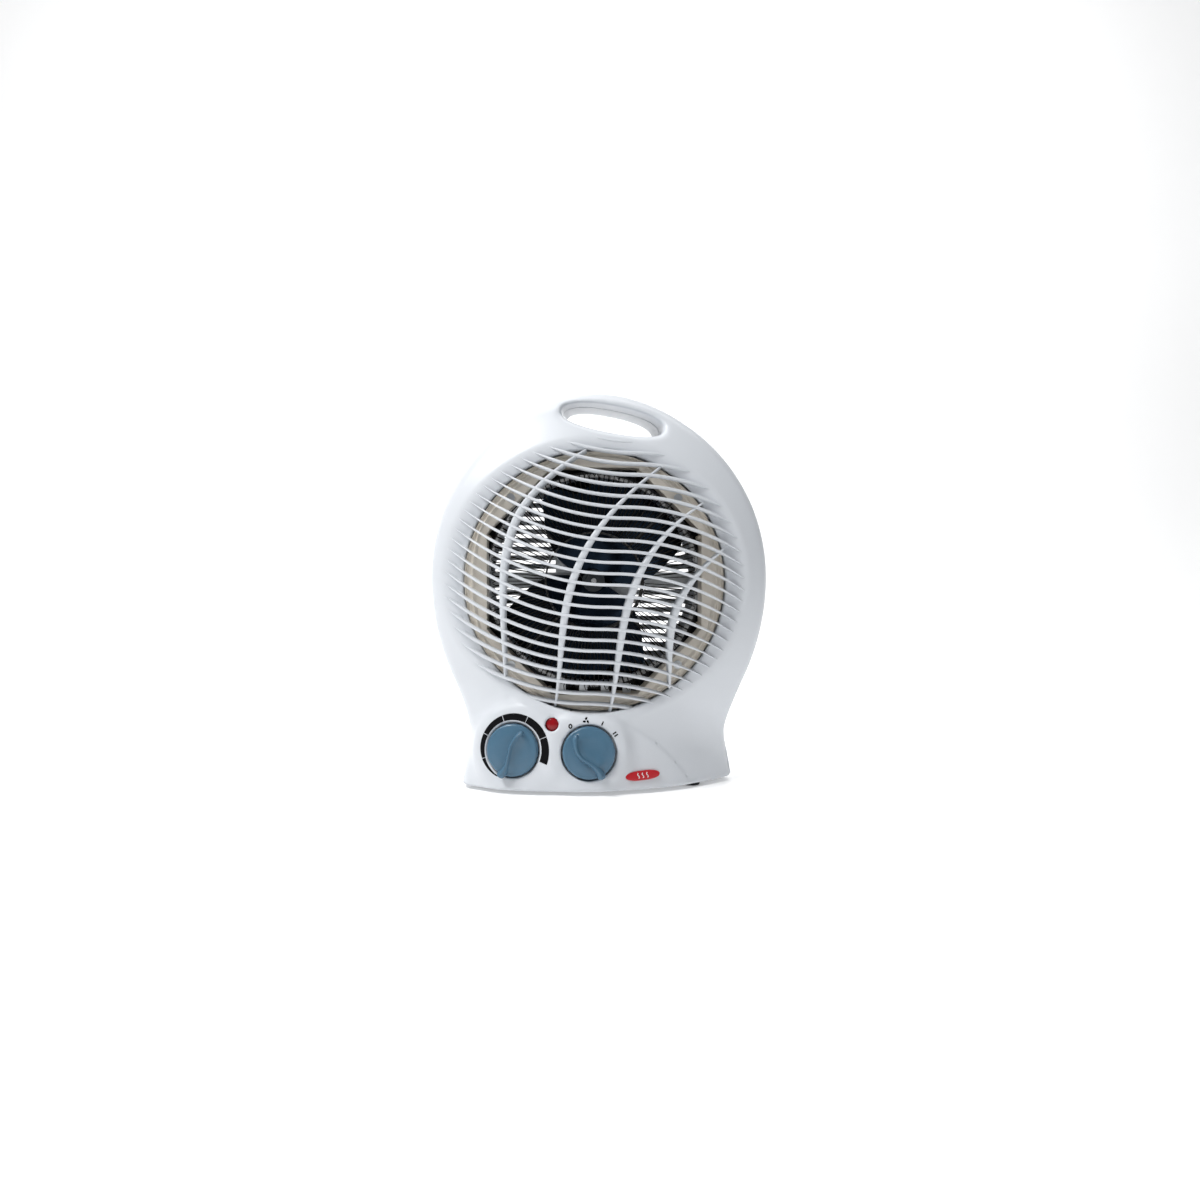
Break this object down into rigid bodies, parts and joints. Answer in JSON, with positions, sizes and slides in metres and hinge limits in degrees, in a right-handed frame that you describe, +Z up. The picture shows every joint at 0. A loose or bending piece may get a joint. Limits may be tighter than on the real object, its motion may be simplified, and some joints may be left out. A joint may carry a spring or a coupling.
{
  "type": "fan heater",
  "caption": "Upright portable fan heater with a wavy slatted outlet, a wire heater behind it, a finger opening as handle and rotary thermostat and function knobs.",
  "frame": {"origin": "middle of the footprint, on the surface the feet stand on", "axes": "+Z up, the outlet and knobs face -Y, +X is to the right as seen from the front"},
  "size_m": [0.245, 0.13, 0.29],
  "materials": {
    "white_plastic": "satin moulded white",
    "blue_plastic": "fine matte grey-blue",
    "black_rubber": "matte",
    "zinc_steel": "zinc plated",
    "bright_steel": "ground",
    "badge_red": "gloss",
    "red_lens": "translucent gloss",
    "lamp_glass": "clear",
    "ivory_plastic": "matte",
    "bimetal": "satin",
    "mica": "pressed mica board, flecked",
    "heating_alloy": "oxidised",
    "cutout_metal": "satin",
    "fuse_body": "satin",
    "shroud_steel": "galvanised",
    "lamination_steel": "lacquered",
    "coil_tape": "taped",
    "bronze": "sintered",
    "black_fan": "gloss black",
    "brown_wire": "satin",
    "white_wire": "satin",
    "blue_wire": "satin"
  },
  "bodies": {
    "casing": {"front_shell": "white_plastic", "rear_shell": "white_plastic", "shell_screws": "zinc_steel", "rubber_feet": "black_rubber", "heat_badge": "badge_red", "thermostat_housing": "ivory_plastic", "thermostat_leaf": "bimetal", "function_switch": "ivory_plastic", "control_screws": "zinc_steel", "pilot_lens": "red_lens", "pilot_lamp": "lamp_glass", "heater_baffle": "mica", "heater_duct": "mica", "heater_inner_ring": "mica", "heater_cross_boards": "mica", "heating_wire_front": "heating_alloy", "heating_wire_rear": "heating_alloy", "heater_terminals": "zinc_steel", "thermal_cutout": "cutout_metal", "thermal_fuse": "fuse_body", "heater_screws": "zinc_steel", "fan_shroud": "shroud_steel", "mounting_screws": "zinc_steel", "motor_bracket": "zinc_steel", "motor_stator": "lamination_steel", "motor_coil": "coil_tape", "front_bearing_bridge": "zinc_steel", "rear_bearing_bridge": "zinc_steel", "front_bearing": "bronze", "rear_bearing": "bronze", "motor_screws": "zinc_steel", "terminal_block": "ivory_plastic", "cord_clamp": "ivory_plastic", "cord_clamp_screws": "zinc_steel", "cord_inlet": "black_rubber", "mains_wires": "brown_wire", "heater_wires": "white_wire", "motor_wires": "blue_wire"},
    "thermostat_dial": {"thermostat_knob": "blue_plastic", "thermostat_spindle": "bright_steel"},
    "function_dial": {"function_knob": "blue_plastic", "function_spindle": "bright_steel"},
    "rotor": {"motor_rotor": "lamination_steel", "motor_shaft": "bright_steel", "fan_impeller": "black_fan", "fan_nut": "zinc_steel", "fan_washer": "zinc_steel"}
  },
  "joints": [
    {"name": "thermostat_turn", "type": "hinge", "parent": "casing", "child": "thermostat_dial", "pos_m": [-0.062, -0.0446, 0.031], "axis": [-0.2068, -0.9728, 0.1045], "range_deg": [-81, 180]},
    {"name": "function_turn", "type": "hinge", "parent": "casing", "child": "function_dial", "pos_m": [-0.0084, -0.05159, 0.03], "axis": [-0.0347, -0.9939, 0.1045], "range_deg": [-90, 0]},
    {"name": "fan_spin", "type": "hinge", "parent": "casing", "child": "rotor", "pos_m": [-0.004, 0, 0.151], "axis": [0, 1, 0], "continuous": true}
  ]
}
